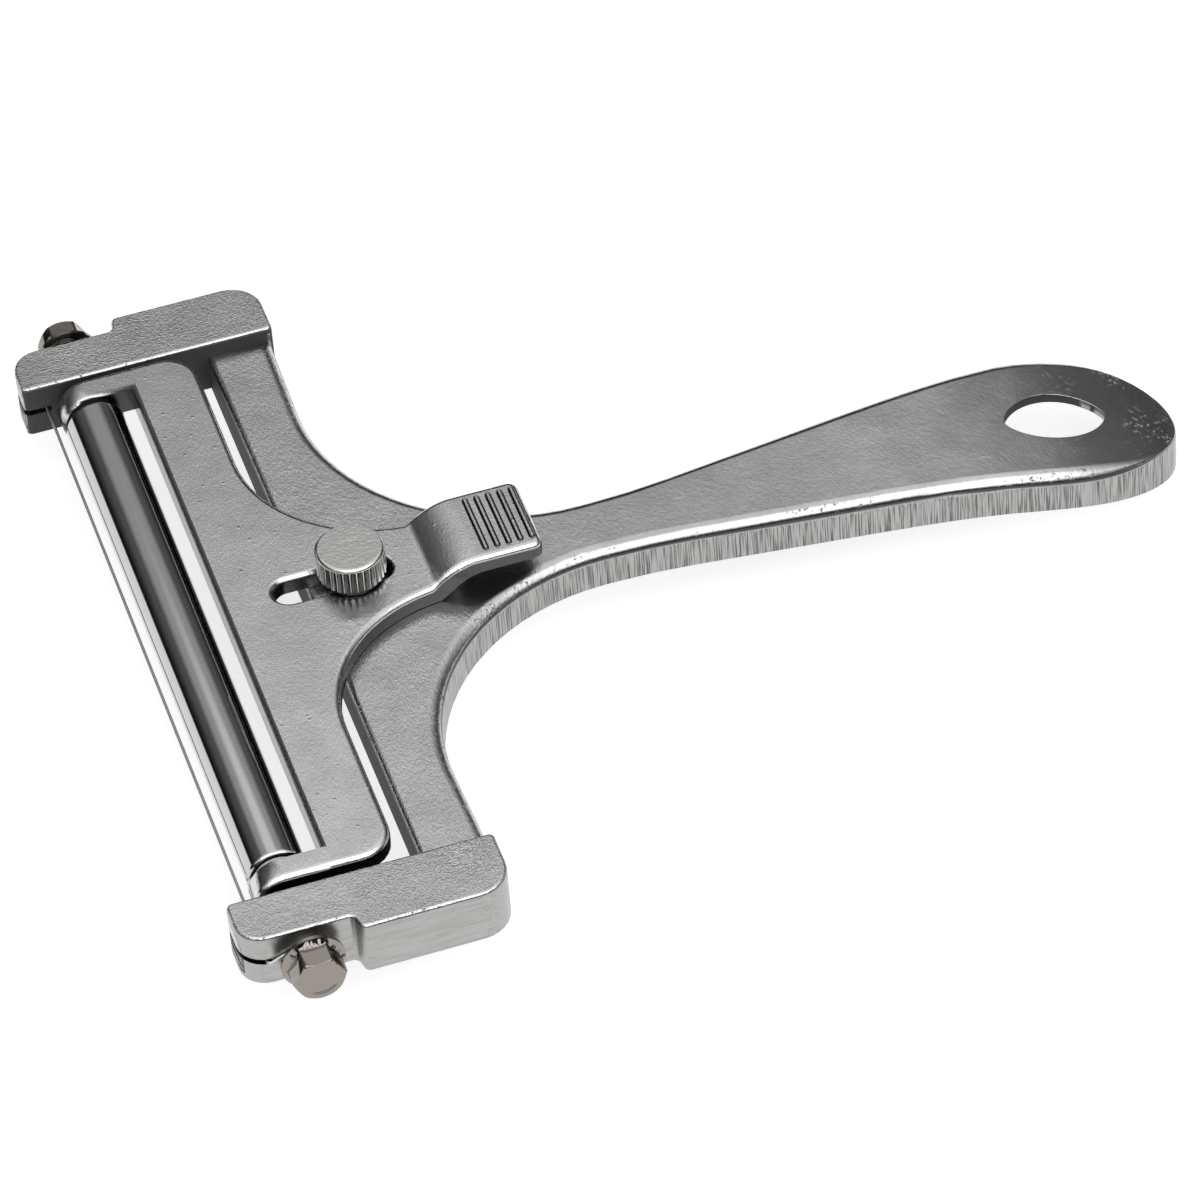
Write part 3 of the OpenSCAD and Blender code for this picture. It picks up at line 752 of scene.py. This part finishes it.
class SLICER_OT_roller(bpy.types.Operator):
    """Turn the roller tube, and dress its bushes and its axle"""

    bl_idname = "slicer.roller"
    bl_label = "Roller"

    def execute(self, context):
        low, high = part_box("roller_tube")
        centre = (low + high) / 2
        half, r = (high.y - low.y) / 2, (high.x - low.x) / 2
        bore = r - TUBE_WALL * MM
        ease = TUBE_EASE * MM
        ends = []
        for i in range(5):
            a = math.radians(22.5 * i)
            ends.append((r - ease + ease * math.sin(a), half - ease + ease * math.cos(a)))
        profile = [(bore, half)] + ends + [(x, -h) for x, h in reversed(ends)] + [(bore, -half)]
        bm = lathe(profile, centre, (0, 1, 0))
        add_piece(
            "RollerTube", bm, plain_metal("RollerSteel", look().steel_colour, 0.08),
            "roller", ["roller_tube"],
        )
        for node, name, material, body, slot in (
            ("roller_bushes", "RollerBushes",
             plastic("BushPlastic", look().bush_colour, 0.4), "roller", "bush_plastic"),
            ("roller_axle", "RollerAxle",
             plain_metal("AxleSteel", look().steel_colour, 0.25), "carriage", "axle_steel"),
        ):
            add_piece(name, merged_copy(node), material, body, [node])
        return {"FINISHED"}


class SLICER_OT_wire(bpy.types.Operator):
    """Dress the cutting wire and the two hexagon screws that hold it"""

    bl_idname = "slicer.wire"
    bl_label = "Wire and screws"

    def execute(self, context):
        steel = plain_metal("WireSteel", look().steel_colour, 0.3)
        add_piece(
            "CuttingWire", merged_copy("cutting_wire"), steel, "frame",
            ["cutting_wire"], smooth=60,
        )
        screw = plain_metal("ScrewSteel", look().screw_colour, 0.13)
        for node, name in (("near_wire_screw", "NearWireScrew"), ("far_wire_screw", "FarWireScrew")):
            bm = merged_copy(node)
            join_flats(bm, 1.0)
            add_piece(name, bm, screw, "frame", [node])
        return {"FINISHED"}


class SLICER_OT_thumb_screw(bpy.types.Operator):
    """Dress the knurled thumb screw"""

    bl_idname = "slicer.thumb_screw"
    bl_label = "Thumb screw"

    def execute(self, context):
        bm = merged_copy("thumb_screw")
        join_flats(bm)
        add_piece(
            "ThumbScrew", bm, knurled_metal(look()),
            "thumb_screw", ["thumb_screw"],
        )
        return {"FINISHED"}


def add_lamp(name, place, size, power):
    """A rectangular lamp that faces the middle of the stage."""
    light = bpy.data.lights.new(name, "AREA")
    light.shape = "RECTANGLE"
    light.size, light.size_y = size
    light.energy = power
    obj = bpy.data.objects.new(name, light)
    turn = (-Vector(place)).to_track_quat("-Z", "Y").to_matrix().to_4x4()
    obj.matrix_world = Matrix.Translation(place) @ turn
    bpy.context.scene.collection.objects.link(obj)


def add_stage_piece(name, bm, material):
    """Turns a bmesh into a piece of the stage."""
    mesh = bpy.data.meshes.new(name)
    bm.to_mesh(mesh)
    bm.free()
    mesh.materials.append(material)
    obj = bpy.data.objects.new(name, mesh)
    bpy.context.scene.collection.objects.link(obj)
    return obj


def seen_plainly(tree):
    """One for the camera and for what shows in or through the metal, nought for soft light."""
    path = tree.nodes.new("ShaderNodeLightPath").outputs
    direct = math_node(tree, "MAXIMUM", path["Is Camera Ray"], path["Is Glossy Ray"])
    return math_node(tree, "MAXIMUM", direct, path["Is Transmission Ray"])


def floor_material():
    """A pale grey that catches the shadow, lifted to white where it is seen."""
    material = bpy.data.materials.new("PaleFloor")
    material.use_nodes = True
    tree = material.node_tree
    shader = tree.nodes["Principled BSDF"]
    shader.inputs["Base Color"].default_value = (0.6, 0.6, 0.6, 1)
    shader.inputs["Roughness"].default_value = 0.9
    glow = tree.nodes.new("ShaderNodeEmission")
    glow.inputs["Color"].default_value = (1, 1, 1, 1)
    glow.inputs["Strength"].default_value = 0.7
    add = tree.nodes.new("ShaderNodeAddShader")
    mix = tree.nodes.new("ShaderNodeMixShader")
    tree.links.new(shader.outputs[0], add.inputs[0])
    tree.links.new(glow.outputs[0], add.inputs[1])
    tree.links.new(seen_plainly(tree), mix.inputs[0])
    tree.links.new(shader.outputs[0], mix.inputs[1])
    tree.links.new(add.outputs[0], mix.inputs[2])
    tree.links.new(mix.outputs[0], tree.nodes["Material Output"].inputs["Surface"])
    return material


def card_material():
    """Matt cards that let light past in steps: low in front, in two steps up to 48 degrees behind."""
    material = bpy.data.materials.new("DarkCard")
    material.use_nodes = True
    tree = material.node_tree
    shader = tree.nodes["Principled BSDF"]
    shader.inputs["Roughness"].default_value = 1.0
    shader.inputs["Specular IOR Level"].default_value = 0.0
    place = tree.nodes.new("ShaderNodeTexCoord")
    _, y, height = parts_of(tree, place.outputs["Object"])
    behind = math_node(
        tree, "ADD",
        remap(tree, height, 0.62, 0.82, 0.38, 0.0),
        remap(tree, height, 0.97, 1.1, 0.62, 0.0),
    )
    before = remap(tree, height, 0.3, 0.5, 1.0, 0.0)
    tree.links.new(blended(tree, remap(tree, y, -0.4, 0.2), before, behind), shader.inputs["Alpha"])
    # Straight behind the object the darkest band reaches higher, for the rims on the far side
    straight = remap(tree, y, 0.84, 0.9)
    low, high = blended(tree, straight, 0.12, 0.55), blended(tree, straight, 0.45, 0.62)
    shade = mixed_colour(tree, remap(tree, height, low, high), (0.02,) * 3, (0.2,) * 3)
    tree.links.new(shade, shader.inputs["Base Color"])
    return material


def add_camera(scene):
    """The eye of the photograph, given by its angles round the point that it looks at."""
    camera = bpy.data.cameras.new("Camera")
    camera.lens = 218.84
    camera.sensor_width = 36
    camera.clip_start, camera.clip_end = 0.05, 20
    azimuth, elevation, roll = (math.radians(x) for x in EYE_ANGLES)
    right = Vector((math.cos(azimuth), math.sin(azimuth), 0))
    back = Vector(
        (
            math.sin(azimuth) * math.cos(elevation),
            -math.cos(azimuth) * math.cos(elevation),
            math.sin(elevation),
        )
    )
    up = back.cross(right)
    turned = Matrix(
        (
            right * math.cos(roll) - up * math.sin(roll),
            right * math.sin(roll) + up * math.cos(roll),
            back,
        )
    ).transposed()
    place = Vector(EYE_AIM) * MM + back * EYE_DISTANCE * MM
    eye = bpy.data.objects.new("Camera", camera)
    eye.matrix_world = Matrix.Translation(place) @ turned.to_4x4()
    scene.collection.objects.link(eye)
    scene.camera = eye


class SLICER_OT_stage(bpy.types.Operator):
    """Set up the pale floor, the studio light and the camera"""

    bl_idname = "slicer.stage"
    bl_label = "Stage, light and camera"

    def execute(self, context):
        scene = context.scene
        bm = bmesh.new()
        bmesh.ops.create_grid(bm, x_segments=1, y_segments=1, size=3.0)
        add_stage_piece("Floor", bm, floor_material())

        scene.world = bpy.data.worlds.new("Studio")
        scene.world.use_nodes = True
        tree = scene.world.node_tree
        sky = tree.nodes["Background"]
        sky.inputs["Color"].default_value = (1, 1, 1, 1)
        tree.links.new(blended(tree, seen_plainly(tree), 0.6, 1.0), sky.inputs["Strength"])

        bm = bmesh.new()
        bmesh.ops.create_circle(bm, cap_ends=False, segments=96, radius=CARD_RADIUS)
        wall = bmesh.ops.extrude_edge_only(bm, edges=bm.edges[:])
        raised = [v for v in wall["geom"] if isinstance(v, bmesh.types.BMVert)]
        bmesh.ops.translate(bm, vec=(0, 0, CARD_HEIGHT), verts=raised)
        cards = add_stage_piece("DarkCards", bm, card_material())
        cards.visible_camera = False
        cards.visible_shadow = False

        add_lamp("FrontSoftbox", (0.0, -0.82, 0.98), (2.0, 1.55), 12.5)
        add_camera(scene)
        scene.view_settings.view_transform = "Standard"
        return {"FINISHED"}


PIECES = (
    SLICER_OT_casting,
    SLICER_OT_carriage,
    SLICER_OT_roller,
    SLICER_OT_wire,
    SLICER_OT_thumb_screw,
    SLICER_OT_stage,
)


class SLICER_PT_panel(bpy.types.Panel):
    """Lists the slicer's pieces and its look"""

    bl_label = "Cheese slicer"
    bl_idname = "SLICER_PT_panel"
    bl_space_type = "VIEW_3D"
    bl_region_type = "UI"
    bl_category = "Slicer"

    def draw(self, context):
        for piece in PIECES:
            self.layout.operator(piece.bl_idname)
        for name in SlicerLook.__annotations__:
            self.layout.prop(context.scene.slicer_look, name)


CLASSES = (SlicerLook, *PIECES, SLICER_PT_panel)


def register():
    for cls in CLASSES:
        bpy.utils.register_class(cls)
    bpy.types.Scene.slicer_look = bpy.props.PointerProperty(type=SlicerLook)


def unregister():
    del bpy.types.Scene.slicer_look
    for cls in reversed(CLASSES):
        bpy.utils.unregister_class(cls)


def main():
    register()
    bpy.ops.slicer.casting()
    bpy.ops.slicer.carriage()
    bpy.ops.slicer.roller()
    bpy.ops.slicer.wire()
    bpy.ops.slicer.thumb_screw()
    bpy.ops.slicer.stage()


if __name__ == "__main__":
    main()
